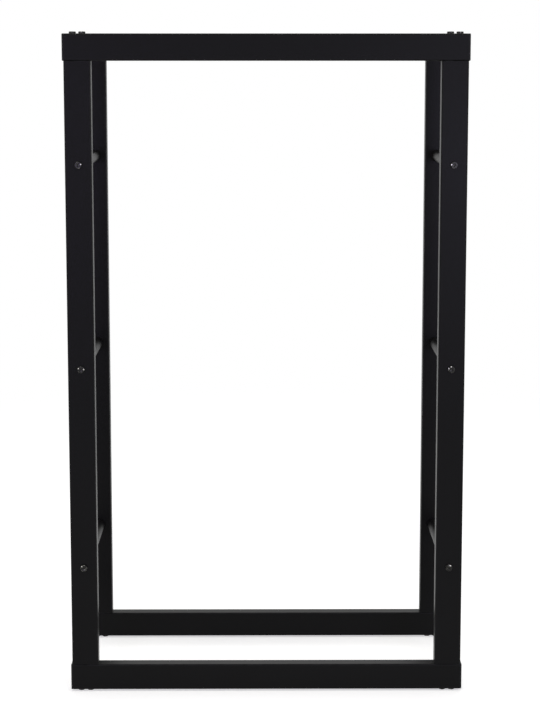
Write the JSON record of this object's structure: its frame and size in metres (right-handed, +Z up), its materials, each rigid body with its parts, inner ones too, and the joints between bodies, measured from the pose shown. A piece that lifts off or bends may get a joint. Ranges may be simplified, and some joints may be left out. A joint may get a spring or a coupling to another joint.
{
  "type": "firewood rack",
  "caption": "Tall narrow open firewood rack: two upright frames of flat black steel tube, bolted at the corners and joined by round side rods, with logs stacked between the posts.",
  "frame": {"origin": "on the floor, under the middle of the rack, level with the flat ends of the lower bolt heads that it stands on", "axes": "+X along the rails to the viewer's right, +Y from the front frame to the rear frame, +Z up"},
  "size_m": [0.6, 0.256, 1.006],
  "materials": {
    "powder_coat": "matt black powder coat with a fine orange peel",
    "cap_plastic": "moulded black polyethylene, satin",
    "bolt_black": "black zinc plating, semi-gloss",
    "bare_steel": "bare mild steel"
  },
  "bodies": {
    "root": {"front_bottom_rail": "powder_coat", "front_bottom_rail_left_end_cap": "cap_plastic", "front_bottom_rail_right_end_cap": "cap_plastic", "front_bottom_rail_bolts": "bolt_black", "front_top_rail": "powder_coat", "front_top_rail_left_end_cap": "cap_plastic", "front_top_rail_right_end_cap": "cap_plastic", "front_top_rail_bolts": "bolt_black", "front_left_post": "powder_coat", "front_left_post_bottom_nut_plate": "bare_steel", "front_left_post_top_nut_plate": "bare_steel", "front_left_post_bolts": "bolt_black", "front_right_post": "powder_coat", "front_right_post_bottom_nut_plate": "bare_steel", "front_right_post_top_nut_plate": "bare_steel", "front_right_post_bolts": "bolt_black", "rear_bottom_rail": "powder_coat", "rear_bottom_rail_left_end_cap": "cap_plastic", "rear_bottom_rail_right_end_cap": "cap_plastic", "rear_bottom_rail_bolts": "bolt_black", "rear_top_rail": "powder_coat", "rear_top_rail_left_end_cap": "cap_plastic", "rear_top_rail_right_end_cap": "cap_plastic", "rear_top_rail_bolts": "bolt_black", "rear_left_post": "powder_coat", "rear_left_post_bottom_nut_plate": "bare_steel", "rear_left_post_top_nut_plate": "bare_steel", "rear_left_post_bolts": "bolt_black", "rear_right_post": "powder_coat", "rear_right_post_bottom_nut_plate": "bare_steel", "rear_right_post_top_nut_plate": "bare_steel", "rear_right_post_bolts": "bolt_black", "left_lower_rod": "powder_coat", "left_lower_rod_front_nut": "bare_steel", "left_lower_rod_rear_nut": "bare_steel", "left_middle_rod": "powder_coat", "left_middle_rod_front_nut": "bare_steel", "left_middle_rod_rear_nut": "bare_steel", "left_upper_rod": "powder_coat", "left_upper_rod_front_nut": "bare_steel", "left_upper_rod_rear_nut": "bare_steel", "right_lower_rod": "powder_coat", "right_lower_rod_front_nut": "bare_steel", "right_lower_rod_rear_nut": "bare_steel", "right_middle_rod": "powder_coat", "right_middle_rod_front_nut": "bare_steel", "right_middle_rod_rear_nut": "bare_steel", "right_upper_rod": "powder_coat", "right_upper_rod_front_nut": "bare_steel", "right_upper_rod_rear_nut": "bare_steel"}
  },
  "joints": []
}
